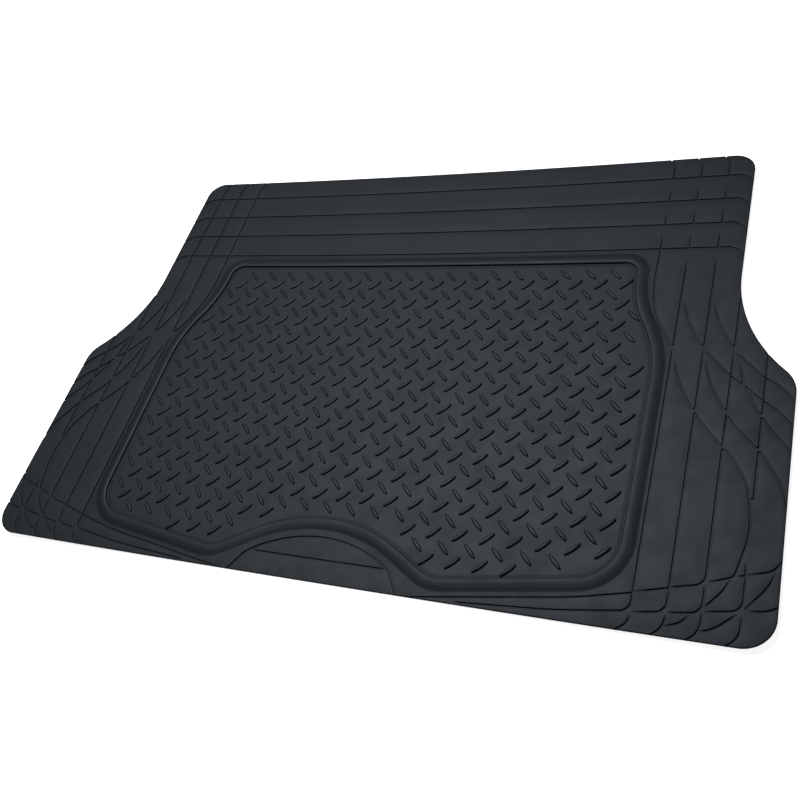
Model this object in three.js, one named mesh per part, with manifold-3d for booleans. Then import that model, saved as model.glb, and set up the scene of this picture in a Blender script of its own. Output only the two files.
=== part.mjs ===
// A trim-to-fit boot liner: one moulded rubber sheet, narrow between the wheel arches, with a
// rimmed tray of raised tread bars and a net of fine V grooves that show where it may be cut.
// Millimetres. X runs across the car, Y towards the back edge, Z up. The sheet lies on Z = 0.
import * as THREE from "three";
import { ConvexGeometry } from "three/addons/geometries/ConvexGeometry.js";
import { mergeGeometries, mergeVertices } from "three/addons/utils/BufferGeometryUtils.js";
import Module from "manifold-3d";

const wasm = await Module();
wasm.setup();

// Sheet
const length = 1400;
const depth = 921;
const thickness = 3;
const backLength = 1204;
const backCornerR = 38;
const frontCornerR = 46;
const archStart = 285;
const archR = 270;
const shoulderR = 56;

// Curl of the two ends
const flatLength = 1000;
const endRise = 9;
const curlSteps = 3;

// Tray, with its rim measured outward from the top of the inner wall
const trayLength = 975;
const trayBackLength = 866;
const trayBackMargin = 250;
const trayBackR = 28;
const traySideStart = 278;
const traySideR = 242;
const trayFrontMargin = 71;
const trayFrontFall = 0.147;
const trayFrontR = 70;
const trayDipX = 205;
const trayDipR = 60;
const trayArchRise = 0.589;
const trayArchR = 265;
const rimHeight = 4.4;
const rimWidth = 16;
const rimWallRun = 3.5;
const rimCrown = 6;
const rimFall = 0.4;

// Tread bars, in two crossed rows of slanting lozenges
const barLength = 30;
const barWidth = 7.2;
const barHeight = 1.8;
const barRidge = 16;
const barPitchX = 44.8;
const barPitchY = 46.1;
const barRowMargin = 280.5;
const barTrayMargin = 8;

// Trim grooves: section, long lines and gaps between neighbours
const grooveWidth = 2.6;
const grooveDepth = 1.3;
const tipR = 3;
const turnR = 18;
const sideLines = [462, 511, 559, 605.5, 656];
const backLineMargin = 50.7;
const backLinePitch = 57.5;
const backLineCount = 4;
const backLineTurn = { run: 19, drop: 15.5, radius: 25 };
const backSideLines = 3;
const cornerTurn = { run: 12, drop: 17, radius: 40 };
const frontTurn = { run: 20, height: 12, radius: 30 };
const frontTurnStarts = [21.5, 29, 38, 40];
const bridge = { right: 26, left: 0 };
const overrun = 2;

// Two long grooves beside the latch arch, as [x, height above the front edge, radius]
const upperFrontLine = { bend: [430, 37, 600], end: 56 };
const lowerFrontLine = { start: 29, bend: [400, 13.5, 800], end: [255, 3] };

// Latch arch: a groove round the lock plate's place, with a chord groove across it
const latchLength = 320;
const latchShoulder = { x: 135.6, y: 35.3, radius: 45 };
const latchSlope = 0.625;
const latchR = 237;
const chordLength = 248;
const chordMargin = 38.5;

// Facets
const facetError = 1.6;
const shortest = 0.01;
const sink = 0.4;

const back = depth / 2;
const front = -depth / 2;
const side = length / 2;
const backSide = backLength / 2;
const archTop = back - archStart;
const backLine = (row) => back - backLineMargin - row * backLinePitch;
const lowestBackLine = backLine(backLineCount - 1);
const below = (drop) => archTop - drop;
const above = (height) => front + height;

// Paths: a corner is [x, y, radius]. A corner without a radius is an end or stays sharp.
function tangentLength(before, corner, after) {
  const arriving = new THREE.Vector2(corner[0] - before[0], corner[1] - before[1]);
  const leaving = new THREE.Vector2(after[0] - corner[0], after[1] - corner[1]);
  return corner[2] * Math.tan(arriving.angleTo(leaving) / 2);
}

function cornerArc(corner, toBefore, toAfter, cut, radius) {
  const here = new THREE.Vector2(corner[0], corner[1]);
  const inward = toBefore.clone().add(toAfter).normalize();
  const centre = here.clone().addScaledVector(inward, Math.hypot(radius, cut));
  const from = here.clone().addScaledVector(toBefore, cut).sub(centre).angle();
  const to = here.clone().addScaledVector(toAfter, cut).sub(centre).angle();
  const sweep = to - from - 2 * Math.PI * Math.round((to - from) / (2 * Math.PI));
  const facetAngle = 2 * Math.acos(1 - Math.min(facetError / radius, 0.3));
  const steps = Math.max(2, Math.ceil(Math.abs(sweep) / facetAngle));
  const arc = [];
  for (let step = 0; step <= steps; step += 1) {
    const angle = from + (sweep * step) / steps;
    arc.push([centre.x + radius * Math.cos(angle), centre.y + radius * Math.sin(angle)]);
  }
  return arc;
}

function roundedPath(corners, closed = false) {
  const count = corners.length;
  const at = (index) => corners[(index + count) % count];
  const isRound = (index) => Boolean(at(index)[2]) && (closed || (index > 0 && index < count - 1));
  const cuts = corners.map((corner, index) =>
    isRound(index) ? tangentLength(at(index - 1), corner, at(index + 1)) : 0);
  const cutAt = (index) => cuts[(index + count) % count];
  const points = corners.flatMap((corner, index) => {
    if (!isRound(index)) {
      return [[corner[0], corner[1]]];
    }
    const runs = [at(index - 1), at(index + 1)].map(([x, y]) =>
      new THREE.Vector2(x - corner[0], y - corner[1]));
    const shares = [index - 1, index + 1].map((other, end) =>
      runs[end].length() / (cuts[index] + cutAt(other)));
    const limit = Math.min(1, ...shares);
    const [toBefore, toAfter] = runs.map((run) => run.normalize());
    return cornerArc(corner, toBefore, toAfter, cuts[index] * limit, corner[2] * limit);
  });
  return points.filter(([x, y], index) => {
    const [nextX, nextY] = points[(index + 1) % points.length];
    return Math.hypot(nextX - x, nextY - y) > shortest || (!closed && index === points.length - 1);
  });
}

// A closed outline from the corners of its right half, listed from the back to the front
function mirroredOutline(corners) {
  const isOnAxis = ([x]) => x === 0;
  const left = corners.filter((corner) => !isOnAxis(corner)).reverse()
    .map(([x, y, radius]) => [-x, y, radius]);
  return roundedPath([...corners, ...left], true);
}

function sheetOutline() {
  const turn = Math.acos(1 - (side - backSide) / (archR + shoulderR));
  const archCorner = archTop - archR * Math.tan(turn / 2);
  const shoulderCorner = archCorner - (side - backSide) / Math.tan(turn);
  return mirroredOutline([
    [backSide, back, backCornerR],
    [backSide, archCorner, archR],
    [side, shoulderCorner, shoulderR],
    [side, front, frontCornerR],
  ]);
}

function trayOutline() {
  const trayBack = back - trayBackMargin;
  const narrow = trayBackLength / 2;
  const wide = trayLength / 2;
  const turn = Math.acos(1 - (wide - narrow) / (2 * traySideR));
  const upperCorner = back - traySideStart - traySideR * Math.tan(turn / 2);
  const lowerCorner = upperCorner - (wide - narrow) / Math.tan(turn);
  const sideCorner = front + trayFrontMargin;
  const dip = sideCorner - trayFrontFall * (wide - trayDipX);
  return mirroredOutline([
    [narrow, trayBack, trayBackR],
    [narrow, upperCorner, traySideR],
    [wide, lowerCorner, traySideR],
    [wide, sideCorner, trayFrontR],
    [trayDipX, dip, trayDipR],
    [0, dip + trayArchRise * trayDipX, trayArchR],
  ]);
}

// A section, as [distance to the left of the path, height], swept along a plan path with mitres
function sweep(path, section, closed = false) {
  const count = path.length;
  const points = path.map(([x, y]) => new THREE.Vector2(x, y));
  const positions = [];
  const faces = [];
  points.forEach((point, index) => {
    const hasBefore = closed || index > 0;
    const hasAfter = closed || index < count - 1;
    const before = points[(index - 1 + count) % count];
    const after = points[(index + 1) % count];
    const arriving = (hasBefore ? point.clone().sub(before) : after.clone().sub(point)).normalize();
    const leaving = (hasAfter ? after.clone().sub(point) : arriving.clone()).normalize();
    const along = arriving.clone().add(leaving).normalize();
    const stretch = 1 / along.dot(leaving);
    for (const [offset, height] of section) {
      const reach = offset * stretch;
      positions.push(point.x - along.y * reach, point.y + along.x * reach, height);
    }
  });
  const ring = section.length;
  const spans = closed ? count : count - 1;
  for (let span = 0; span < spans; span += 1) {
    for (let edge = 0; edge < ring; edge += 1) {
      const nextEdge = (edge + 1) % ring;
      const here = span * ring;
      const next = ((span + 1) % count) * ring;
      faces.push(here + edge, here + nextEdge, next + nextEdge);
      faces.push(here + edge, next + nextEdge, next + edge);
    }
  }
  if (!closed) {
    const last = (count - 1) * ring;
    for (let edge = 1; edge < ring - 1; edge += 1) {
      faces.push(0, edge + 1, edge, last, last + edge, last + edge + 1);
    }
  }
  const geometry = new THREE.BufferGeometry();
  geometry.setAttribute("position", new THREE.Float32BufferAttribute(positions, 3));
  geometry.setIndex(faces);
  return geometry;
}

function toManifold(geometry) {
  const bare = geometry.clone();
  bare.deleteAttribute("normal");
  bare.deleteAttribute("uv");
  const merged = mergeVertices(bare, 1e-4);
  return new wasm.Manifold(new wasm.Mesh({
    numProp: 3,
    vertProperties: new Float32Array(merged.attributes.position.array),
    triVerts: new Uint32Array(merged.index.array),
  }));
}

function toGeometry(solid) {
  const mesh = solid.getMesh();
  const geometry = new THREE.BufferGeometry();
  geometry.setAttribute("position", new THREE.BufferAttribute(mesh.vertProperties, 3));
  geometry.setIndex(new THREE.BufferAttribute(mesh.triVerts, 1));
  geometry.computeVertexNormals();
  return geometry;
}

function sheetSolid() {
  const shape = new THREE.Shape(sheetOutline().map(([x, y]) => new THREE.Vector2(x, y)));
  return toManifold(new THREE.ExtrudeGeometry(shape, { depth: thickness, bevelEnabled: false }));
}

// The rim: a steep inner wall, a round crown and a long outer slope
function rimSolid() {
  const crown = thickness + rimHeight;
  const section = [
    [-rimWallRun, thickness - sink],
    [rimWidth, thickness - sink],
    [rimCrown, crown],
    [0, crown - rimFall],
  ];
  return toManifold(sweep(trayOutline(), section, true));
}

// The groove net of one side. A point is [column, y, radius]: column 1.15 lies 0.15 of the way
// from the second side line to the third. Drops start at the wheel arch, heights at the front edge.
const lines = [...sideLines, side];

function gridX(column) {
  const whole = Math.min(Math.floor(column), lines.length - 2);
  return lines[whole] + (column - whole) * (lines[whole + 1] - lines[whole]);
}

// Shapes that several arms share, as [columns, drop, radius] from the start of the arm
const steepArm = [[0.15, 0], [0.375, 45.5, archR], [1, 93.5, tipR]];
const steepTail = [[0.44, 0], [1, 60, tipR]];
const slantArm = [[0.1, 0], [1, 47, tipR]];
const slantTail = [[0.46, 0], [1, 24.5, tipR]];
const bentArm = [[0.04, 0], [0.21, 12.5, 40], [1, 57, tipR]];
const hookArm = [[0.04, 0], [0.39, 14.5, tipR], [0.28, -15, 60], [0.12, -38]];

// An arm goes on along the next side line when it has an end.
function arm(shape, column, drop, end) {
  const points = shape.map(([columns, fall, radius]) =>
    [column + columns, below(drop + fall), radius]);
  return end === undefined ? points : [...points, [column + 1, end]];
}

// Where each side line starts below a back line is the one thing that differs from side to side.
const archGrooves = (lineStart) => [
  [[0, lowestBackLine], [0, below(80), archR], [1, below(155.5), tipR], [1, lineStart]],
  arm(steepArm, 1, 62, lineStart),
  arm(steepArm, 2, 62, below(20)),
  arm(steepArm, 1, 184, below(157)),
  arm(steepArm, 2, 183, below(207)),
  arm(steepTail, 3, 224, below(252)),
  arm(hookArm, 3, 209),
  arm(slantArm, 2, 161, below(157)),
  arm(slantArm, 3, 164, below(150)),
  arm(slantTail, 3, 227, below(210)),
  arm(bentArm, 2, 280, below(276)),
  arm(bentArm, 3, 281, below(281)),
];

const edgeGrooves = [
  [[4.03, below(209.4)], [4.57, below(226.4), 100], [5.04, below(252.4)]],
  [[4.03, below(252.2)], [4.55, below(270.5), 150], [5.04, below(296.2)]],
  [[4.03, below(282)], [4.22, below(295.5), 40], [5.04, below(340)]],
  [[4.03, below(340)], [4.2, below(349), 60], [4.89, below(399), 110], [5.03, below(438)]],
  [[4.07, above(102.5)], [4.77, above(111.5), 25], [5.04, above(131)]],
  [[4.23, above(51.5)], [4.7, above(53.5), 40], [5.04, above(63)]],
];

const frontGrooves = [
  [[2, below(278)], [2, above(70)]],
  [[4, below(340)], [4, below(420), tipR], [3.87, below(416.5)]],
  [[3.03, below(339)], [3.22, below(346), 60], [3.8, below(394), 90], [4.04, below(467), 170],
    [3.71, above(97), 14], [3.1, above(86)]],
  [[1.08, above(58.5)], [2, above(70)]],
  [[3, below(339)], [3, above(81.5), turnR], [2.08, above(72)]],
  [[2, above(66.5)], [2, above(35), turnR], [1.08, above(27.7)]],
  [[3, above(78.5)], [3, above(40), turnR], [2.08, above(34.5)]],
  [[4, above(97)], [4, above(50), turnR], [3.1, above(42.7)]],
  [[3.83, above(99.5)], [4, above(101), 4], [3.97, above(116.5)]],
  [[4.08, above(54.5)], [4.64, above(86), 80], [4.83, above(108)]],
  [[3.08, above(51)], [3.44, above(73), 60], [3.62, above(91)]],
  [[2.06, above(15.5)], [2.45, above(22), 30], [2.63, above(33)]],
  [[3.04, above(15)], [3.3, above(18), 60], [3.84, above(43)]],
];

function backGrooves(gap) {
  return lines.slice(0, backSideLines).flatMap((x) => {
    const runs = [[
      [x - cornerTurn.run, back + overrun],
      [x, back - cornerTurn.drop, cornerTurn.radius],
      [x, backLine(0)],
    ]];
    for (let row = 1; row < backLineCount; row += 1) {
      runs.push([[x, backLine(row - 1) - gap], [x, backLine(row)]]);
    }
    return runs;
  });
}

function longFrontGrooves() {
  const x = gridX(1);
  const [upperX, upperHeight, upperR] = upperFrontLine.bend;
  const [lowerX, lowerHeight, lowerR] = lowerFrontLine.bend;
  const [endX, endHeight] = lowerFrontLine.end;
  return [
    [[latchLength / 2, above(-overrun)], [upperX, above(upperHeight), upperR],
      [x, above(upperFrontLine.end)]],
    [[x, below(155)], [x, above(lowerFrontLine.start), turnR],
      [lowerX, above(lowerHeight), lowerR], [endX, above(endHeight)]],
  ];
}

function sideGrooves(gap) {
  const net = [...archGrooves(lowestBackLine - gap), ...edgeGrooves, ...frontGrooves];
  return [
    ...backGrooves(gap),
    ...net.map((groove) => groove.map(([column, y, radius]) => [gridX(column), y, radius])),
    ...longFrontGrooves(),
    ...frontTurnStarts.map((start, index) => [
      [lines[index + 1], above(start)],
      [lines[index + 1], above(frontTurn.height), frontTurn.radius],
      [lines[index + 1] - frontTurn.run, above(-overrun)],
    ]),
  ];
}

function crossGrooves() {
  const bothWays = (half) => [...half.map(([x, y, radius]) => [-x, y, radius]), ...half.reverse()];
  const grooves = [];
  for (let row = 0; row < backLineCount; row += 1) {
    const y = backLine(row);
    grooves.push(bothWays([
      [backSide + overrun, y - backLineTurn.drop - overrun],
      [backSide - backLineTurn.run, y, backLineTurn.radius],
    ]));
  }
  const { x, y, radius } = latchShoulder;
  const roof = [0, front + y + latchSlope * x, latchR];
  grooves.push([
    [-latchLength / 2, front - overrun], [-x, front + y, radius], roof, [x, front + y, radius],
    [latchLength / 2, front - overrun],
  ]);
  grooves.push([[-chordLength / 2, front + chordMargin], [chordLength / 2, front + chordMargin]]);
  return grooves;
}

function grooveSolids() {
  const mirrored = (groove) => groove.map(([x, y, radius]) => [-x, y, radius]);
  const grooves = [
    ...crossGrooves(),
    ...sideGrooves(bridge.right),
    ...sideGrooves(bridge.left).map(mirrored),
  ];
  const half = (grooveWidth / 2) * (1 + sink / grooveDepth);
  const top = thickness + sink;
  const section = [[0, thickness - grooveDepth], [half, top], [-half, top]];
  return grooves.map((groove) => toManifold(sweep(roundedPath(groove), section)));
}

// Tread bars
function isClear([x, y], outline, margin) {
  let inside = false;
  let nearest = Infinity;
  outline.forEach(([x1, y1], index) => {
    const [x2, y2] = outline[(index + 1) % outline.length];
    if (y1 > y !== y2 > y && x < x1 + ((y - y1) * (x2 - x1)) / (y2 - y1)) {
      inside = !inside;
    }
    const along = ((x - x1) * (x2 - x1) + (y - y1) * (y2 - y1)) / ((x2 - x1) ** 2 + (y2 - y1) ** 2);
    const share = Math.min(1, Math.max(0, along));
    nearest = Math.min(nearest, Math.hypot(x - x1 - share * (x2 - x1), y - y1 - share * (y2 - y1)));
  });
  return inside && nearest > margin;
}

function barPlaces() {
  const outline = trayOutline();
  const reach = (barLength / 2) * Math.SQRT1_2;
  const columns = Math.ceil(trayLength / barPitchX);
  const rows = Math.ceil(depth / barPitchY);
  const places = [];
  for (const hand of [1, -1]) {
    const firstY = back - barRowMargin - (hand === 1 ? 0.5 * barPitchY : 0);
    for (let row = 0; row < rows; row += 1) {
      const y = firstY - row * barPitchY;
      for (let column = -columns; column <= columns; column += 1) {
        const x = (column + 0.25 * hand) * barPitchX;
        const ends = [[x + reach, y + hand * reach], [x - reach, y - hand * reach]];
        if (ends.every((end) => isClear(end, outline, barTrayMargin))) {
          places.push({ x, y, hand });
        }
      }
    }
  }
  return places;
}

function barGeometry() {
  return new ConvexGeometry([
    new THREE.Vector3(barLength / 2, 0, thickness),
    new THREE.Vector3(-barLength / 2, 0, thickness),
    new THREE.Vector3(0, barWidth / 2, thickness),
    new THREE.Vector3(0, -barWidth / 2, thickness),
    new THREE.Vector3(barRidge / 2, 0, thickness + barHeight),
    new THREE.Vector3(-barRidge / 2, 0, thickness + barHeight),
  ]);
}

function barSolids() {
  const bar = barGeometry();
  return toManifold(mergeGeometries(barPlaces().map(({ x, y, hand }) =>
    bar.clone().rotateZ((hand * Math.PI) / 4).translate(x, y, 0))));
}

// The curl: a parabola in straight strips. The sheet is parted at the fold lines, each strip is
// tilted, and the strips are joined again.
const flatEnd = flatLength / 2;
const strip = (side - flatEnd) / curlSteps;
const riseAt = (steps) => endRise * (steps / curlSteps) ** 2;

function lift(x) {
  const steps = Math.max(0, (Math.abs(x) - flatEnd) / strip);
  const whole = Math.floor(steps);
  return riseAt(whole) + (steps - whole) * (riseAt(whole + 1) - riseAt(whole));
}

function tilted(solid, stations) {
  const mesh = solid.getMesh();
  const points = Float32Array.from(mesh.vertProperties);
  for (let first = 0; first < points.length; first += 3) {
    const x = points[first];
    points[first] = stations.find((station) => Math.abs(station - x) < shortest) ?? x;
    points[first + 2] += lift(points[first]);
  }
  return new wasm.Manifold(new wasm.Mesh({
    numProp: 3,
    vertProperties: points,
    triVerts: mesh.triVerts,
  }));
}

function curled(solid) {
  const folds = Array.from({ length: curlSteps + 1 }, (unused, step) => flatEnd + step * strip);
  const stations = [...folds.map((x) => -x).reverse(), ...folds];
  const strips = stations.slice(1).map((x, index) => {
    const width = x - stations[index];
    const band = new THREE.BoxGeometry(width, 2 * depth, 10 * thickness);
    return solid.intersect(toManifold(band.translate(x - width / 2, 0, 0)));
  });
  return strips.map((piece) => tilted(piece, stations)).reduce((whole, piece) => whole.add(piece));
}

function linerGeometry() {
  let solid = sheetSolid();
  for (const groove of grooveSolids()) {
    solid = solid.subtract(groove);
  }
  return toGeometry(curled(solid.add(rimSolid())).add(barSolids()));
}

const rubber = new THREE.MeshStandardMaterial({ color: 0x35383c, roughness: 0.62, metalness: 0 });
const liner = new THREE.Mesh(linerGeometry(), rubber);
liner.name = "boot_liner";

const model = new THREE.Group();
model.add(liner);
export default model;
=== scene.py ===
import math

import bpy
import numpy as np
from mathutils import Euler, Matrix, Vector
from mathutils.geometry import delaunay_2d_cdt


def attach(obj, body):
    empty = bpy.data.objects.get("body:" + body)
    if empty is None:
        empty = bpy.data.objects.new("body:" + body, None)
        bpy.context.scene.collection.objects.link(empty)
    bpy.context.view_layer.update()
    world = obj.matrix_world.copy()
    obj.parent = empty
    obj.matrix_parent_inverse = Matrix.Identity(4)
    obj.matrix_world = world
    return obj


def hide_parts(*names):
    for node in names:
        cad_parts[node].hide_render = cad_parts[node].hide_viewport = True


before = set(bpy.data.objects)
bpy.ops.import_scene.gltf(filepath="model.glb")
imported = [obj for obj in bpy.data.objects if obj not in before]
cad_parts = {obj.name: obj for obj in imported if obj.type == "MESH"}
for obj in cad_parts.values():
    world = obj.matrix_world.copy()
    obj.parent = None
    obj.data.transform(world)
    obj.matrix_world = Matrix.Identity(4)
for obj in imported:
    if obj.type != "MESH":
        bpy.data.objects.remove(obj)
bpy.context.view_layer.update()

bl_info = {
    "name": "Boot liner",
    "version": (1, 0, 0),
    "blender": (4, 5, 0),
    "location": "3D View > Sidebar > Boot liner",
    "description": "A moulded rubber boot liner with a rimmed tread tray and trim grooves",
    "category": "Add Mesh",
}

MM = 0.001

# Plan of the sheet, in millimetres, as in the part's source. X runs across the car, Y to the back.
LENGTH = 1400.0
DEPTH = 921.0
BACK = DEPTH / 2
FRONT = -DEPTH / 2
SIDE = LENGTH / 2
BACK_SIDE = 602.0
BACK_CORNER_R = 38.0
FRONT_CORNER_R = 46.0
ARCH_TOP = BACK - 285.0
ARCH_R = 270.0
SHOULDER_R = 56.0

# Tray, whose outline is the line that the rim's section is measured from
TRAY_SIDE = 487.5
TRAY_BACK_SIDE = 433.0
TRAY_BACK = BACK - 250.0
TRAY_BACK_R = 28.0
TRAY_SIDE_START = BACK - 278.0
TRAY_SIDE_R = 242.0
TRAY_FRONT = FRONT + 71.0
TRAY_FRONT_FALL = 0.147
TRAY_FRONT_R = 70.0
TRAY_DIP_X = 205.0
TRAY_DIP_R = 60.0
TRAY_ARCH_RISE = 0.589
TRAY_ARCH_R = 265.0

# Trim grooves. A turn is a run along X, a run along Y and a radius.
SIDE_LINES = (462.0, 511.0, 559.0, 605.5, 656.0, SIDE)
BACK_LINE_MARGIN = 50.7
BACK_LINE_PITCH = 57.5
BACK_LINE_COUNT = 4
BACK_LINES = tuple(BACK - BACK_LINE_MARGIN - BACK_LINE_PITCH * row
                   for row in range(BACK_LINE_COUNT))
BACK_SIDE_LINES = 3
BACK_LINE_TURN = (19.0, 15.5, 25.0)
CORNER_TURN = (12.0, 17.0, 40.0)
FRONT_TURN = (20.0, 12.0, 30.0)
FRONT_TURN_STARTS = (21.5, 29.0, 38.0, 40.0)
BRIDGE_RIGHT = 26.0
OVERRUN = 3.0
TIP_R = 3.0
TURN_R = 18.0
LATCH_HALF = 160.0
LATCH_SHOULDER = (135.6, 35.3, 45.0)
LATCH_SLOPE = 0.625
LATCH_R = 237.0
CHORD_HALF = 124.0
CHORD_MARGIN = 38.5

# Tread bars, in two crossed sets of rows that are shifted by a share of the pitch to either side
BAR_PITCH = (44.8, 46.1)
BAR_ROW_MARGIN = 280.5
BAR_ROWS = 13
BAR_COLUMNS = 12
BAR_SHIFT = 0.25
BAR_TURN = math.pi / 4
BAR_REACH = 10.6
BAR_TRAY_MARGIN = 8.0

# Mesh: how far the chords of an arc may stray, the grid between the features, the longest mitre,
# the points of a row's round end, the gap and the height of a triangle that count as none, and
# the angle from which an edge is sharp
ARC_ERROR = 0.03
GRID = 18.0
MITRE = 2.0
CAP_POINTS = 7
MERGE = 0.01
SLIVER = 0.0004
CREASE = math.radians(40)

# An end of a groove within JOINED of another groove opens into it. Any other fades over TAPER
# to the share FREE_END of its depth.
JOINED = 3.0
TAPER = 9.0
FREE_END = 0.25


# Paths in plan: a corner is (x, y) or (x, y, radius).
def arc_points(corner, to_before, to_after, cut, radius):
    inward = to_before + to_after
    inward /= np.hypot(*inward)
    here = np.array(corner[:2])
    centre = here + inward * math.hypot(radius, cut)
    start = here + to_before * cut - centre
    end = here + to_after * cut - centre
    first = math.atan2(start[1], start[0])
    turn = math.remainder(math.atan2(end[1], end[0]) - first, 2 * math.pi)
    step = 2 * math.acos(1 - min(ARC_ERROR / radius, 0.5))
    angles = np.linspace(first, first + turn, max(3, math.ceil(abs(turn) / step) + 1))
    return centre + radius * np.column_stack((np.cos(angles), np.sin(angles)))


def rounded(corners, closed=False):
    """The points of a path whose corners are rounded, with radii limited to what fits."""
    count = len(corners)
    cuts = []
    for index, corner in enumerate(corners):
        if len(corner) < 3 or not (closed or 0 < index < count - 1):
            cuts.append(0.0)
            continue
        arriving = np.subtract(corner[:2], corners[index - 1][:2])
        leaving = np.subtract(corners[(index + 1) % count][:2], corner[:2])
        turn = math.remainder(math.atan2(leaving[1], leaving[0])
                              - math.atan2(arriving[1], arriving[0]), 2 * math.pi)
        cuts.append(corner[2] * math.tan(abs(turn) / 2))
    points = []
    for index, corner in enumerate(corners):
        if cuts[index] < MERGE:
            points.append(np.array([corner[:2]], float))
            continue
        others = (index - 1, index + 1)
        runs = [np.subtract(corners[other % count][:2], corner[:2]) for other in others]
        sizes = [np.hypot(*run) for run in runs]
        share = min([1.0] + [size / (cuts[index] + cuts[other % count])
                             for size, other in zip(sizes, others)])
        before, after = (run / size for run, size in zip(runs, sizes))
        points.append(arc_points(corner, before, after, cuts[index] * share, corner[2] * share))
    path = np.vstack(points)
    gaps = np.hypot(*(np.roll(path, -1, axis=0) - path).T)
    keep = gaps > MERGE
    keep[-1] = keep[-1] or not closed
    return path[keep]


def mirrored_outline(corners):
    """A closed outline from the corners of its right half, listed from the back to the front."""
    left = [(-corner[0], *corner[1:]) for corner in reversed(corners) if corner[0]]
    return rounded(corners + left, closed=True)[::-1]


def s_curve(narrow, wide, start, first_r, second_r):
    """The two corners of the curve that leads from a narrow part to a wide one."""
    turn = math.acos(1 - (wide - narrow) / (first_r + second_r))
    upper = start - first_r * math.tan(turn / 2)
    lower = upper - (wide - narrow) / math.tan(turn)
    return (narrow, upper, first_r), (wide, lower, second_r)


def sheet_outline():
    return mirrored_outline([
        (BACK_SIDE, BACK, BACK_CORNER_R),
        *s_curve(BACK_SIDE, SIDE, ARCH_TOP, ARCH_R, SHOULDER_R),
        (SIDE, FRONT, FRONT_CORNER_R),
    ])


def tray_outline():
    dip = TRAY_FRONT - TRAY_FRONT_FALL * (TRAY_SIDE - TRAY_DIP_X)
    return mirrored_outline([
        (TRAY_BACK_SIDE, TRAY_BACK, TRAY_BACK_R),
        *s_curve(TRAY_BACK_SIDE, TRAY_SIDE, TRAY_SIDE_START, TRAY_SIDE_R, TRAY_SIDE_R),
        (TRAY_SIDE, TRAY_FRONT, TRAY_FRONT_R),
        (TRAY_DIP_X, dip, TRAY_DIP_R),
        (0.0, dip + TRAY_ARCH_RISE * TRAY_DIP_X, TRAY_ARCH_R),
    ])


# The groove net of one side. A point is (column, y, radius): column 1.15 lies 0.15 of the way
# from the second side line to the third.
def grid_x(column):
    whole = min(int(column), len(SIDE_LINES) - 2)
    return SIDE_LINES[whole] + (column - whole) * (SIDE_LINES[whole + 1] - SIDE_LINES[whole])


def below(drop):
    return ARCH_TOP - drop


def above(height):
    return FRONT + height


# Shapes that several arms share, as (columns, drop, radius) from the start of the arm
STEEP_ARM = ((0.15, 0), (0.375, 45.5, ARCH_R), (1, 93.5, TIP_R))
STEEP_TAIL = ((0.44, 0), (1, 60, TIP_R))
SLANT_ARM = ((0.1, 0), (1, 47, TIP_R))
SLANT_TAIL = ((0.46, 0), (1, 24.5, TIP_R))
BENT_ARM = ((0.04, 0), (0.21, 12.5, 40), (1, 57, TIP_R))
HOOK_ARM = ((0.04, 0), (0.39, 14.5, TIP_R), (0.28, -15, 60), (0.12, -38))


def arm(shape, column, drop, end=None):
    """An arm goes on along the next side line when it has an end."""
    points = [(column + point[0], below(drop + point[1]), *point[2:]) for point in shape]
    return points if end is None else points + [(column + 1, end)]


def net_grooves(line_start):
    return [
        [(0, BACK_LINES[-1]), (0, below(80), ARCH_R), (1, below(155.5), TIP_R), (1, line_start)],
        arm(STEEP_ARM, 1, 62, line_start),
        arm(STEEP_ARM, 2, 62, below(20)),
        arm(STEEP_ARM, 1, 184, below(157)),
        arm(STEEP_ARM, 2, 183, below(207)),
        arm(STEEP_TAIL, 3, 224, below(252)),
        arm(HOOK_ARM, 3, 209),
        arm(SLANT_ARM, 2, 161, below(157)),
        arm(SLANT_ARM, 3, 164, below(150)),
        arm(SLANT_TAIL, 3, 227, below(210)),
        arm(BENT_ARM, 2, 280, below(276)),
        arm(BENT_ARM, 3, 281, below(281)),
        [(4.03, below(209.4)), (4.57, below(226.4), 100), (5.05, below(252.4))],
        [(4.03, below(252.2)), (4.55, below(270.5), 150), (5.05, below(296.2))],
        [(4.03, below(282)), (4.22, below(295.5), 40), (5.05, below(340))],
        [(4.03, below(340)), (4.2, below(349), 60), (4.89, below(399), 110), (5.05, below(441))],
        [(4.07, above(102.5)), (4.77, above(111.5), 25), (5.05, above(131))],
        [(4.23, above(51.5)), (4.7, above(53.5), 40), (5.05, above(63))],
        [(2, below(278)), (2, above(70))],
        [(4, below(340)), (4, below(420), TIP_R), (3.87, below(416.5))],
        [(3.03, below(339)), (3.22, below(346), 60), (3.8, below(394), 90), (4.04, below(467), 170),
         (3.71, above(97), 14), (3.1, above(86))],
        [(1.08, above(58.5)), (2, above(70))],
        [(3, below(339)), (3, above(81.5), TURN_R), (2.08, above(72))],
        [(2, above(66.5)), (2, above(35), TURN_R), (1.08, above(27.7))],
        [(3, above(78.5)), (3, above(40), TURN_R), (2.08, above(34.5))],
        [(4, above(97)), (4, above(50), TURN_R), (3.1, above(42.7))],
        [(3.83, above(99.5)), (4, above(101), 4), (3.97, above(116.5))],
        [(4.08, above(54.5)), (4.64, above(86), 80), (4.83, above(108))],
        [(3.08, above(51)), (3.44, above(73), 60), (3.62, above(91))],
        [(2.06, above(15.5)), (2.45, above(22), 30), (2.63, above(33))],
        [(3.04, above(15)), (3.3, above(18), 60), (3.84, above(43))],
    ]


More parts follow.
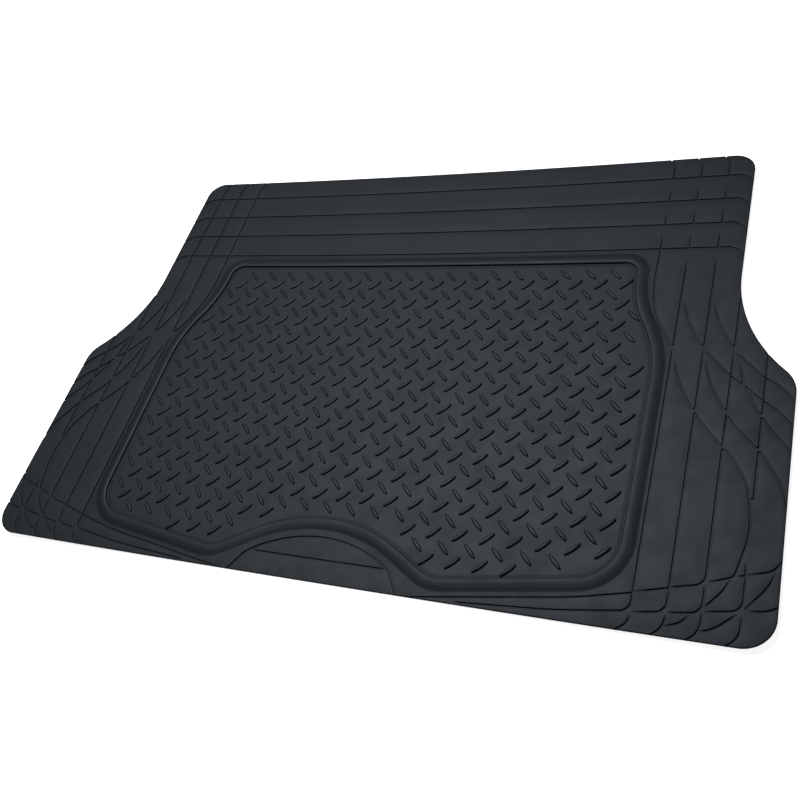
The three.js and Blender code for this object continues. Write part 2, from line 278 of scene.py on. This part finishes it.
def side_grooves(gap):
    grooves = [[(grid_x(point[0]), *point[1:]) for point in groove]
               for groove in net_grooves(BACK_LINES[-1] - gap)]
    run, drop, radius = CORNER_TURN
    for x in SIDE_LINES[:BACK_SIDE_LINES]:
        grooves.append([(x - run, BACK + OVERRUN), (x, BACK - drop, radius), (x, BACK_LINES[0])])
        grooves += [[(x, upper - gap), (x, lower)]
                    for upper, lower in zip(BACK_LINES, BACK_LINES[1:])]
    run, height, radius = FRONT_TURN
    for x, start in zip(SIDE_LINES[1:], FRONT_TURN_STARTS):
        grooves.append([(x, above(start)), (x, above(height), radius), (x - run, above(-OVERRUN))])
    # The two long lines of the front
    x = SIDE_LINES[1]
    grooves.append([(LATCH_HALF, above(-OVERRUN)), (430, above(37), 600), (x, above(56))])
    grooves.append([(x, below(155)), (x, above(29), TURN_R),
                    (400, above(13.5), 800), (255, above(3))])
    return grooves


def flipped(groove):
    return [(-point[0], *point[1:]) for point in groove]


def cross_grooves():
    run, drop, radius = BACK_LINE_TURN
    halves = [[(0.0, y), (BACK_SIDE - run, y, radius), (BACK_SIDE + OVERRUN, y - drop - OVERRUN)]
              for y in BACK_LINES]
    shoulder_x, shoulder_y, shoulder_r = LATCH_SHOULDER
    roof = above(shoulder_y + LATCH_SLOPE * shoulder_x)
    halves.append([(0.0, roof, LATCH_R), (shoulder_x, above(shoulder_y), shoulder_r),
                   (LATCH_HALF, above(-OVERRUN))])
    halves.append([(0.0, above(CHORD_MARGIN)), (CHORD_HALF, above(CHORD_MARGIN))])
    return [flipped(half[:0:-1]) + half for half in halves]


def all_grooves():
    corners = cross_grooves() + side_grooves(BRIDGE_RIGHT)
    corners += [flipped(groove) for groove in side_grooves(0.0)]
    return [rounded(groove) for groove in corners]


# Rows at one distance from a path
def normals_of(path, closed):
    steps = np.roll(path, -1, axis=0) - path
    if not closed:
        steps[-1] = steps[-2]
    steps /= np.hypot(*steps.T)[:, None]
    before = np.roll(steps, 1, axis=0)
    if not closed:
        before[0] = steps[0]
    along = steps + before
    along /= np.hypot(*along.T)[:, None]
    stretch = np.minimum(1 / (along * steps).sum(axis=1), MITRE)
    return np.column_stack((-along[:, 1], along[:, 0])) * stretch[:, None]


def ring(path, offset):
    """A closed row at one distance all round an open path."""
    sideways = normals_of(path, False) * offset
    caps = []
    for end in (-1, 0):
        first = sideways[end] if end else -sideways[end]
        start = math.atan2(*-first[::-1])
        angles = start + np.linspace(0, math.pi, CAP_POINTS)[1:-1]
        caps.append(path[end] + offset * np.column_stack((np.cos(angles), np.sin(angles))))
    return np.vstack((path - sideways, caps[0], (path + sideways)[::-1], caps[1]))


def nearest(points, path, closed):
    """The distance of each point from a path, and how far along the path its nearest point is."""
    starts = path if closed else path[:-1]
    steps = (np.roll(path, -1, axis=0) if closed else path[1:]) - starts
    sizes = np.hypot(*steps.T)
    reached = np.concatenate(([0.0], np.cumsum(sizes)[:-1]))
    best = np.full(len(points), np.inf)
    along = np.zeros(len(points))
    for start, step, size, before in zip(starts, steps, sizes, reached):
        offset = points - start
        share = np.clip(offset @ step / size ** 2, 0, 1)
        distance = np.hypot(*(offset - share[:, None] * step).T)
        closer = distance < best
        best[closer] = distance[closer]
        along[closer] = before + share[closer] * size
    return best, along


def is_inside(points, outline):
    crossings = np.zeros(len(points), int)
    for (x1, y1), (x2, y2) in zip(outline, np.roll(outline, -1, axis=0)):
        if y1 != y2:
            between = (points[:, 1] < y1) != (points[:, 1] < y2)
            left = points[:, 0] < x1 + (points[:, 1] - y1) * (x2 - x1) / (y2 - y1)
            crossings += between & left
    return crossings % 2 == 1


# Sections, as distances and heights in millimetres. The rim's run from the tray's floor, inside the
# tray's outline, over the gutter, the inner wall and the crown to the foot of the outer slope.
RIM_SECTION = (
    (-13.0, -0.3), (-10.5, -0.36), (-8.4, -0.64), (-7.0, -1.0), (-5.9, -1.1), (-5.3, -0.8),
    (-4.5, 2.7), (-3.6, 3.3), (-2.4, 3.7), (-0.9, 3.93), (0.6, 4.0), (3.0, 3.8), (6.5, 3.2),
    (10.5, 2.2), (13.5, 1.2), (15.4, 0.48), (16.7, 0.12), (18.0, 0.0))
_, TRAY_FLOOR = RIM_SECTION[0]
EDGE_SECTION = ((0.0, -1.1), (0.3, -0.5), (0.8, -0.12), (1.7, 0.0))
GROOVE_SECTION = ((0.0, -2.35), (1.15, -2.3), (1.55, -0.35), (1.85, -0.07), (2.4, 0.0))


class Plan:
    """The rows of the sheet's mesh in plan, and the height of its top at any point."""

    def __init__(self, sizes):
        self.sizes = sizes
        self.outline = sheet_outline()
        self.tray = tray_outline()
        self.grooves = all_grooves()

    def rows(self):
        rows = []
        for path, section, side in ((self.outline, EDGE_SECTION, 1), (self.tray, RIM_SECTION, -1)):
            sideways = normals_of(path, True)
            rows += [(path + side * distance * sideways, True) for distance, _ in section]
        for groove in self.grooves:
            rows.append((groove, False))
            rows += [(ring(groove, distance), True) for distance, _ in GROOVE_SECTION[1:]]
        return rows + self.grid_rows(0) + self.grid_rows(1)

    def grid_rows(self, axis):
        """Straight rows across the sheet, each at one x for axis 0 or one y for axis 1."""
        reach = SIDE + GRID
        places = np.arange(-GRID * int(reach / GRID) - GRID / 2, reach, GRID)
        rows = [np.array([(place, -reach), (place, reach)]) for place in places]
        return [(row if axis == 0 else row[:, ::-1], False) for row in rows]

    def groove_depth(self, points):
        depth = np.zeros(len(points))
        reach, _ = GROOVE_SECTION[-1]
        distances, heights = zip(*GROOVE_SECTION)
        for index, groove in enumerate(self.grooves):
            low, high = groove.min(axis=0) - reach, groove.max(axis=0) + reach
            near = np.all((points > low) & (points < high), axis=1)
            if not near.any():
                continue
            distance, along = nearest(points[near], groove, False)
            total = np.hypot(*np.diff(groove, axis=0).T).sum()
            fade = np.ones(len(along))
            for free, to_end in zip(self.free_ends(index), (along, total - along)):
                if free:
                    fade *= np.clip(FREE_END + to_end / TAPER, 0, 1)
            own = np.interp(distance, distances, heights, right=0.0) * fade
            depth[near] = np.minimum(depth[near], own)
        return depth

    def free_ends(self, index):
        """Whether each end of a groove stands clear of the edge and of the other grooves."""
        groove = self.grooves[index]
        ends = groove[[0, -1]]
        free = is_inside(ends, self.outline)
        for other, path in enumerate(self.grooves):
            if other != index and free.any():
                free &= nearest(ends, path, False)[0] > JOINED
        return free

    def bow(self, x):
        return self.sizes.bow / MM * (x / SIDE) ** 2

    def top(self, points):
        inside = is_inside(points, self.tray)
        to_tray, _ = nearest(points, self.tray, True)
        rim = np.interp(np.where(inside, -to_tray, to_tray), *zip(*RIM_SECTION))
        to_edge, _ = nearest(points, self.outline, True)
        edge = np.interp(to_edge, *zip(*EDGE_SECTION))
        flat = self.sizes.thickness / MM + rim + edge + self.groove_depth(points)
        return flat + self.bow(points[:, 0])


def triangulated(rows, outline):
    """Points and triangles inside an outline, with every row as a line of edges."""
    points, edges = [], []
    for path, closed in rows:
        first = len(points)
        points.extend(Vector(point) for point in path)
        count = len(path)
        steps = count if closed else count - 1
        edges += [(first + step, first + (step + 1) % count) for step in range(steps)]
    made, _, faces, _, _, _ = delaunay_2d_cdt(points, edges, [], 0, MERGE, False)
    flat = np.array([tuple(point) for point in made])
    faces = np.array([face for face in faces if len(face) == 3])
    corners = flat[faces]
    sides = np.roll(corners, -1, axis=1) - corners
    (x1, y1), (x2, y2) = sides[:, 0].T, sides[:, 1].T
    heights = np.abs(x1 * y2 - y1 * x2) / np.hypot(sides[..., 0], sides[..., 1]).max(axis=1)
    kept = faces[(heights > SLIVER) & is_inside(corners.mean(axis=1), outline)]
    used, kept = np.unique(kept, return_inverse=True)
    return flat[used], kept.reshape(-1, 3)


def new_object(name, mesh):
    made = bpy.data.objects.new(name, mesh)
    bpy.context.scene.collection.objects.link(made)
    return made


def counterclockwise(flat, faces):
    """Turns the triangles that face down."""
    first, second, third = (flat[faces[:, corner]] for corner in range(3))
    across, up = second - first, third - first
    turned = across[:, 0] * up[:, 1] < across[:, 1] * up[:, 0]
    faces[turned] = faces[turned][:, ::-1]
    return faces


def border_of(faces):
    """The border edges of counterclockwise triangles, in the direction of their faces."""
    edges = np.vstack((faces[:, [0, 1]], faces[:, [1, 2]], faces[:, [2, 0]]))
    directed = {tuple(edge) for edge in edges.tolist()}
    return [edge for edge in directed if edge[::-1] not in directed]


def spans(corners, rows):
    """Rows that start and end at corners of the sheet's border, so that they add none to it."""
    made = []
    for row, _ in rows:
        ends = corners[np.abs(corners[:, 0] - row[0, 0]) < 2 * MERGE]
        if len(ends) > 1:
            made.append((ends[[ends[:, 1].argmin(), ends[:, 1].argmax()]], False))
    return made


def sheet_mesh(sizes):
    """The whole sheet: a top that follows the rows, a side wall and a plain underside."""
    plan = Plan(sizes)
    flat, faces = triangulated(plan.rows(), plan.outline)
    faces = counterclockwise(flat, faces)
    border = border_of(faces)
    edge_rows = [(flat[list(edge)], False) for edge in border]
    edge_rows += spans(flat[np.unique(border)], plan.grid_rows(0))
    under, under_faces = triangulated(edge_rows, plan.outline)
    under_faces = counterclockwise(under, under_faces)
    below_edge = {}
    for index in {index for edge in border for index in edge}:
        gaps = np.hypot(*(under - flat[index]).T)
        below_edge[index] = len(flat) + int(gaps.argmin())
    walls = [(end, start, below_edge[start], below_edge[end]) for start, end in border]
    vertices = np.vstack((
        np.column_stack((flat, plan.top(flat))),
        np.column_stack((under, plan.bow(under[:, 0]))),
    ))
    mesh = bpy.data.meshes.new("liner_sheet")
    mesh.from_pydata((vertices * MM).tolist(), [], [
        *faces.tolist(), *(under_faces[:, ::-1] + len(flat)).tolist(), *walls])
    mesh.validate()
    mesh.shade_smooth()
    mesh.set_sharp_from_angle(angle=CREASE)
    return mesh


# Tread bars
def bar_places(floor):
    """The middle of each bar in metres, and its turn about Z."""
    tray = tray_outline()
    pitch_x, pitch_y = BAR_PITCH
    places = []
    for hand in (1, -1):
        reach = np.array([BAR_REACH, hand * BAR_REACH])
        first_y = BACK - BAR_ROW_MARGIN - (pitch_y / 2 if hand == 1 else 0)
        for row in range(BAR_ROWS):
            y = first_y - row * pitch_y
            for column in range(-BAR_COLUMNS, BAR_COLUMNS + 1):
                x = (column + BAR_SHIFT * hand) * pitch_x
                ends = np.array([(x, y) + reach, (x, y) - reach])
                to_tray, _ = nearest(ends, tray, True)
                if is_inside(ends, tray).all() and to_tray.min() > BAR_TRAY_MARGIN:
                    places.append((x * MM, y * MM, floor, hand * BAR_TURN))
    return places


# A bar of unit size as rings, each with its height and its share of the foot's width and length
BAR_RINGS = ((-0.2, 1.0, 1.0), (0.62, 0.87, 0.96), (0.87, 0.6, 0.87), (1.0, 0.16, 0.68))
BAR_SIDES = 14
BAR_BLUNTNESS = 0.85


def bar_mesh():
    vertices, faces = [], []
    for height, width, length in BAR_RINGS:
        for side in range(BAR_SIDES):
            angle = 2 * math.pi * side / BAR_SIDES
            along = math.cos(angle)
            across = math.copysign(abs(math.sin(angle)) ** BAR_BLUNTNESS, math.sin(angle))
            vertices.append((0.5 * length * along, 0.5 * width * across, height))
    for ring_index in range(len(BAR_RINGS) - 1):
        lower = ring_index * BAR_SIDES
        for side in range(BAR_SIDES):
            after = (side + 1) % BAR_SIDES
            upper = lower + BAR_SIDES
            faces.append((lower + side, lower + after, upper + after, upper + side))
    last = (len(BAR_RINGS) - 1) * BAR_SIDES
    faces.append(tuple(range(last, last + BAR_SIDES)))
    faces.append(tuple(reversed(range(BAR_SIDES))))
    mesh = bpy.data.meshes.new("bar")
    mesh.from_pydata(vertices, [], faces)
    mesh.shade_smooth()
    return mesh


# Node trees
def sockets(tree, inputs, outputs):
    """Named sockets of a node group, with the group's two end nodes."""
    for in_out, wanted in (("INPUT", inputs), ("OUTPUT", outputs)):
        for name, kind in wanted:
            tree.interface.new_socket(name, in_out=in_out, socket_type=kind)
    return tree.nodes.new("NodeGroupInput"), tree.nodes.new("NodeGroupOutput")


def maths(tree, operation, first, second):
    """A maths node on two values, each a socket or a number."""
    made = tree.nodes.new("ShaderNodeMath")
    made.operation = operation
    for socket, value in zip(made.inputs, (first, second)):
        if isinstance(value, float):
            socket.default_value = value
        else:
            tree.links.new(value, socket)
    return made.outputs["Value"]


def tread_tree():
    """A node tree that puts a bar on each point at the point's own turn, and bows the rows."""
    tree = bpy.data.node_groups.new("Tread bars", "GeometryNodeTree")
    tree.is_modifier = True
    entry, leave = sockets(tree, [
        ("Geometry", "NodeSocketGeometry"),
        ("Bar", "NodeSocketObject"),
        ("Bar Size", "NodeSocketVector"),
        ("Bow", "NodeSocketFloat"),
        ("Half Length", "NodeSocketFloat"),
        ("Material", "NodeSocketMaterial"),
    ], [("Geometry", "NodeSocketGeometry")])
    nodes, link = tree.nodes, tree.links.new
    bar = nodes.new("GeometryNodeObjectInfo")
    turn = nodes.new("GeometryNodeInputNamedAttribute")
    turn.data_type = "FLOAT"
    turn.inputs["Name"].default_value = "turn"
    angles = nodes.new("ShaderNodeCombineXYZ")
    place = nodes.new("GeometryNodeInstanceOnPoints")
    real = nodes.new("GeometryNodeRealizeInstances")
    position = nodes.new("GeometryNodeInputPosition")
    parts = nodes.new("ShaderNodeSeparateXYZ")
    offset = nodes.new("ShaderNodeCombineXYZ")
    bow = nodes.new("GeometryNodeSetPosition")
    finish = nodes.new("GeometryNodeSetMaterial")
    link(entry.outputs["Geometry"], place.inputs["Points"])
    link(entry.outputs["Bar"], bar.inputs["Object"])
    link(bar.outputs["Geometry"], place.inputs["Instance"])
    link(turn.outputs["Attribute"], angles.inputs["Z"])
    link(angles.outputs["Vector"], place.inputs["Rotation"])
    link(entry.outputs["Bar Size"], place.inputs["Scale"])
    link(place.outputs["Instances"], real.inputs["Geometry"])
    link(real.outputs["Geometry"], bow.inputs["Geometry"])
    link(position.outputs["Position"], parts.inputs["Vector"])
    share = maths(tree, "DIVIDE", parts.outputs["X"], entry.outputs["Half Length"])
    lift = maths(tree, "MULTIPLY", maths(tree, "POWER", share, 2.0), entry.outputs["Bow"])
    link(lift, offset.inputs["Z"])
    link(offset.outputs["Vector"], bow.inputs["Offset"])
    link(bow.outputs["Geometry"], finish.inputs["Geometry"])
    link(entry.outputs["Material"], finish.inputs["Material"])
    link(finish.outputs["Geometry"], leave.inputs["Geometry"])
    return tree


def set_input(modifier, name, value):
    for item in modifier.node_group.interface.items_tree:
        if item.item_type == "SOCKET" and item.in_out == "INPUT" and item.name == name:
            modifier[item.identifier] = value


# Materials: scale, detail and the range that is used of each noise
CLOUDS = (9.0, 4.0)
CLOUD_RANGE = (0.42, 0.66)
PATCHES = (26.0, 4.0)
PATCH_RANGE = (0.35, 0.7)
GRAIN = (900.0, 2.0)
GRAIN_STRENGTH = 0.5

# Amount of bloom, and the lower and upper roughness
SHEET_FINISH = (1.0, 0.55, 0.61)
TREAD_FINISH = (0.6, 0.47, 0.53)

PAPER_COLOUR = (0.85, 0.85, 0.85, 1)
PAPER_ROUGHNESS = 0.9
PAPER_GLOSS = 0.1


def noise(tree, vector, scale, detail):
    made = tree.nodes.new("ShaderNodeTexNoise")
    made.inputs["Scale"].default_value = scale
    made.inputs["Detail"].default_value = detail
    tree.links.new(vector, made.inputs["Vector"])
    return made.outputs["Fac"]


def spread(tree, value, low, high):
    """Spreads a value from low to high over 0 to 1."""
    made = tree.nodes.new("ShaderNodeMapRange")
    made.inputs["From Min"].default_value = low
    made.inputs["From Max"].default_value = high
    tree.links.new(value, made.inputs["Value"])
    return made.outputs["Result"]


def bloom_group():
    """Faint bluish cloudiness of moulded rubber: the colour and how much of the bloom shows."""
    tree = bpy.data.node_groups.new("Rubber bloom", "ShaderNodeTree")
    entry, leave = sockets(tree, [
        ("Vector", "NodeSocketVector"),
        ("Base", "NodeSocketColor"),
        ("Bloom", "NodeSocketColor"),
        ("Amount", "NodeSocketFloat"),
    ], [("Color", "NodeSocketColor"), ("Mask", "NodeSocketFloat")])
    clouds = spread(tree, noise(tree, entry.outputs["Vector"], *CLOUDS), *CLOUD_RANGE)
    mask = maths(tree, "MULTIPLY", clouds, entry.outputs["Amount"])
    mix = tree.nodes.new("ShaderNodeMix")
    mix.data_type = "RGBA"
    link = tree.links.new
    link(mask, mix.inputs["Factor"])
    link(entry.outputs["Base"], mix.inputs["A"])
    link(entry.outputs["Bloom"], mix.inputs["B"])
    link(mix.outputs["Result"], leave.inputs["Color"])
    link(mask, leave.inputs["Mask"])
    return tree


def grain_group():
    """The fine even grain that a mould leaves: a height for the bump and a roughness."""
    tree = bpy.data.node_groups.new("Mould grain", "ShaderNodeTree")
    entry, leave = sockets(tree, [
        ("Vector", "NodeSocketVector"),
        ("Smooth", "NodeSocketFloat"),
        ("Rough", "NodeSocketFloat"),
    ], [("Height", "NodeSocketFloat"), ("Roughness", "NodeSocketFloat")])
    fine = noise(tree, entry.outputs["Vector"], *GRAIN)
    patches = spread(tree, noise(tree, entry.outputs["Vector"], *PATCHES), *PATCH_RANGE)
    mix = tree.nodes.new("ShaderNodeMix")
    mix.data_type = "FLOAT"
    link = tree.links.new
    link(patches, mix.inputs["Factor"])
    link(entry.outputs["Smooth"], mix.inputs["A"])
    link(entry.outputs["Rough"], mix.inputs["B"])
    link(mix.outputs["Result"], leave.inputs["Roughness"])
    link(fine, leave.inputs["Height"])
    return tree


def rubber(name, look, bloom_amount, smooth, rough):
    """Matte charcoal rubber with a faint bloom and a fine moulded grain."""
    material = bpy.data.materials.new(name)
    material.use_nodes = True
    tree = material.node_tree
    shader = tree.nodes["Principled BSDF"]
    shader.inputs["Specular IOR Level"].default_value = look.gloss
    shader.inputs["Specular Tint"].default_value = (*look.sheen, 1)
    vector = tree.nodes.new("ShaderNodeTexCoord").outputs["Object"]
    bloom = tree.nodes.new("ShaderNodeGroup")
    bloom.node_tree = bpy.data.node_groups.get("Rubber bloom") or bloom_group()
    bloom.inputs["Base"].default_value = (*look.colour, 1)
    bloom.inputs["Bloom"].default_value = (*look.bloom, 1)
    bloom.inputs["Amount"].default_value = bloom_amount
    grain = tree.nodes.new("ShaderNodeGroup")
    grain.node_tree = bpy.data.node_groups.get("Mould grain") or grain_group()
    grain.inputs["Smooth"].default_value = smooth
    grain.inputs["Rough"].default_value = rough
    bump = tree.nodes.new("ShaderNodeBump")
    bump.inputs["Distance"].default_value = look.grain
    bump.inputs["Strength"].default_value = GRAIN_STRENGTH
    link = tree.links.new
    link(vector, bloom.inputs["Vector"])
    link(vector, grain.inputs["Vector"])
    link(bloom.outputs["Color"], shader.inputs["Base Color"])
    link(grain.outputs["Roughness"], shader.inputs["Roughness"])
    link(grain.outputs["Height"], bump.inputs["Height"])
    link(bump.outputs["Normal"], shader.inputs["Normal"])
    return material


def white_paper(look):
    """The floor: plain white that keeps the object's shadow, and reads as white to the camera."""
    material = bpy.data.materials.new("floor")
    material.use_nodes = True
    tree = material.node_tree
    shader = tree.nodes["Principled BSDF"]
    shader.inputs["Base Color"].default_value = PAPER_COLOUR
    shader.inputs["Roughness"].default_value = PAPER_ROUGHNESS
    shader.inputs["Specular IOR Level"].default_value = PAPER_GLOSS
    shader.inputs["Emission Color"].default_value = (1, 1, 1, 1)
    rays = tree.nodes.new("ShaderNodeLightPath")
    glow = maths(tree, "MULTIPLY", rays.outputs["Is Camera Ray"], look.floor_glow)
    tree.links.new(glow, shader.inputs["Emission Strength"])
    return material


# Stage: places and sizes in metres, turns in degrees, the lens and its sensor in millimetres
FLOOR_REACH = 6.0
FLOOR_CORNERS = ((-1, -1), (1, -1), (1, 1), (-1, 1))
FLOOR_Z = -0.5 * MM
LAMP_PLACE = (-0.8, 1.05, 3.2)
LAMP_AIM = (0, 0, 0)
LAMP_SIZE = (2.4, 0.6)
CAMERA_PLACE = (0.7487, -0.8860, 1.2442)
CAMERA_TURN = (35.816, 19.2226, 17.0362)
CAMERA_LENS = 41.1675
CAMERA_SENSOR = 36.0


def set_world(look):
    """White to the camera, and the fill light to everything else."""
    world = bpy.data.worlds.new("studio")
    bpy.context.scene.world = world
    world.use_nodes = True
    tree = world.node_tree
    background = tree.nodes["Background"]
    background.inputs["Color"].default_value = (1, 1, 1, 1)
    rays = tree.nodes.new("ShaderNodeLightPath")
    mix = tree.nodes.new("ShaderNodeMix")
    mix.data_type = "FLOAT"
    mix.inputs["A"].default_value = look.fill
    mix.inputs["B"].default_value = 1.0
    tree.links.new(rays.outputs["Is Camera Ray"], mix.inputs["Factor"])
    tree.links.new(mix.outputs["Result"], background.inputs["Strength"])


def add_lamp(power):
    light = bpy.data.lights.new("key_lamp", "AREA")
    light.shape = "ELLIPSE"
    light.size, light.size_y = LAMP_SIZE
    light.energy = power
    lamp = new_object("key_lamp", light)
    lamp.location = LAMP_PLACE
    toward = Vector(LAMP_AIM) - Vector(LAMP_PLACE)
    lamp.rotation_euler = toward.to_track_quat("-Z", "Y").to_euler()


def add_camera():
    camera = bpy.data.cameras.new("camera")
    camera.lens = CAMERA_LENS
    camera.sensor_width = CAMERA_SENSOR
    made = new_object("camera", camera)
    made.location = CAMERA_PLACE
    made.rotation_euler = Euler([math.radians(angle) for angle in CAMERA_TURN])
    bpy.context.scene.camera = made


# Sizes and colours that a user may change
class SheetSizes(bpy.types.PropertyGroup):
    thickness: bpy.props.FloatProperty(
        name="Thickness", description="Thickness of the sheet between its grooves",
        default=3.0 * MM, unit="LENGTH")
    bow: bpy.props.FloatProperty(
        name="Bow", description="How far both ends stand higher than the middle",
        default=10.0 * MM, unit="LENGTH")


class TreadSizes(bpy.types.PropertyGroup):
    bar: bpy.props.FloatVectorProperty(
        name="Bar", description="Length, width and height of one tread bar",
        default=(31.5 * MM, 7.5 * MM, 3.1 * MM), subtype="XYZ_LENGTH", unit="LENGTH")


class RubberLook(bpy.types.PropertyGroup):
    colour: bpy.props.FloatVectorProperty(
        name="Rubber", description="Colour of the rubber", default=(0.0083, 0.0123, 0.0134),
        subtype="COLOR", min=0, max=1)
    bloom: bpy.props.FloatVectorProperty(
        name="Bloom", description="Colour where the rubber looks cloudy",
        default=(0.0104, 0.0134, 0.0176), subtype="COLOR", min=0, max=1)
    sheen: bpy.props.FloatVectorProperty(
        name="Sheen", description="Tint of the reflection", default=(0.84, 0.89, 1.0),
        subtype="COLOR", min=0, max=1)
    gloss: bpy.props.FloatProperty(
        name="Gloss", description="Strength of the reflection",
        default=0.275, min=0, max=1, subtype="FACTOR")
    grain: bpy.props.FloatProperty(
        name="Grain", description="Depth of the moulded grain", default=0.06 * MM, unit="LENGTH")


class StageLook(bpy.types.PropertyGroup):
    fill: bpy.props.FloatProperty(
        name="Fill", description="Strength of the light from all round", default=0.035, min=0)
    key: bpy.props.FloatProperty(
        name="Key lamp", description="Power of the lamp above the back left of the liner",
        default=121.0, min=0, subtype="POWER")
    floor_glow: bpy.props.FloatProperty(
        name="Floor glow", description="Light of the floor that only the camera sees",
        default=0.9, min=0)


def ridden(piece):
    """Every piece stands for the one CAD node, and moves with its body."""
    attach(piece, "root")
    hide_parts("boot_liner")


class MakeSheet(bpy.types.Operator):
    """Makes the sheet with its rim, edge and trim grooves"""
    bl_idname = "boot_liner.make_sheet"
    bl_label = "Sheet"

    def execute(self, context):
        scene = context.scene
        sheet = new_object("liner_sheet", sheet_mesh(scene.liner_sheet))
        sheet.data.materials.append(rubber("sheet_rubber", scene.liner_rubber, *SHEET_FINISH))
        ridden(sheet)
        return {"FINISHED"}


class MakeTread(bpy.types.Operator):
    """Makes the raised bars on the floor of the tray"""
    bl_idname = "boot_liner.make_tread"
    bl_label = "Tread bars"

    def execute(self, context):
        scene = context.scene
        sizes = scene.liner_sheet
        places = bar_places(sizes.thickness + TRAY_FLOOR * MM)
        points = bpy.data.meshes.new("bar_points")
        points.from_pydata([place[:3] for place in places], [], [])
        turns = points.attributes.new("turn", "FLOAT", "POINT")
        turns.data.foreach_set("value", [place[3] for place in places])
        carrier = new_object("bar_points", points)
        bar = new_object("bar", bar_mesh())
        modifier = carrier.modifiers.new("Tread", "NODES")
        modifier.node_group = tread_tree()
        set_input(modifier, "Bar", bar)
        set_input(modifier, "Bar Size", list(scene.liner_tread.bar))
        set_input(modifier, "Bow", sizes.bow)
        set_input(modifier, "Half Length", SIDE * MM)
        material = rubber("tread_rubber", scene.liner_rubber, *TREAD_FINISH)
        set_input(modifier, "Material", material)
        graph = context.evaluated_depsgraph_get()
        mesh = bpy.data.meshes.new_from_object(carrier.evaluated_get(graph))
        mesh.name = "tread_bars"
        mesh.set_sharp_from_angle(angle=CREASE)
        bpy.data.objects.remove(carrier)
        bpy.data.objects.remove(bar)
        ridden(new_object("tread_bars", mesh))
        return {"FINISHED"}


class MakeStage(bpy.types.Operator):
    """Makes the floor, the lamp, the world and the camera"""
    bl_idname = "boot_liner.make_stage"
    bl_label = "Stage"

    def execute(self, context):
        look = context.scene.liner_stage
        mesh = bpy.data.meshes.new("floor")
        corners = [(x * FLOOR_REACH, y * FLOOR_REACH, FLOOR_Z) for x, y in FLOOR_CORNERS]
        mesh.from_pydata(corners, [], [(0, 1, 2, 3)])
        floor = new_object("floor", mesh)
        floor.data.materials.append(white_paper(look))
        add_lamp(look.key)
        set_world(look)
        add_camera()
        context.scene.view_settings.view_transform = "Standard"
        return {"FINISHED"}


class LinerPanel(bpy.types.Panel):
    """The liner's sizes, colours and pieces"""
    bl_idname = "VIEW3D_PT_boot_liner"
    bl_label = "Boot liner"
    bl_space_type = "VIEW_3D"
    bl_region_type = "UI"
    bl_category = "Boot liner"

    def draw(self, context):
        for group in (context.scene.liner_sheet, context.scene.liner_tread,
                      context.scene.liner_rubber, context.scene.liner_stage):
            for name in group.__annotations__:
                self.layout.prop(group, name)
        for operator in OPERATORS:
            self.layout.operator(operator.bl_idname)


OPERATORS = (MakeSheet, MakeTread, MakeStage)
GROUPS = {"liner_sheet": SheetSizes, "liner_tread": TreadSizes, "liner_rubber": RubberLook,
          "liner_stage": StageLook}


def register():
    for kind in (*GROUPS.values(), *OPERATORS, LinerPanel):
        bpy.utils.register_class(kind)
    for name, kind in GROUPS.items():
        setattr(bpy.types.Scene, name, bpy.props.PointerProperty(type=kind))


def unregister():
    for name in GROUPS:
        delattr(bpy.types.Scene, name)
    for kind in (LinerPanel, *reversed(OPERATORS), *reversed(GROUPS.values())):
        bpy.utils.unregister_class(kind)


def main():
    register()
    bpy.ops.boot_liner.make_stage()
    bpy.ops.boot_liner.make_sheet()
    bpy.ops.boot_liner.make_tread()


if __name__ == "__main__":
    main()
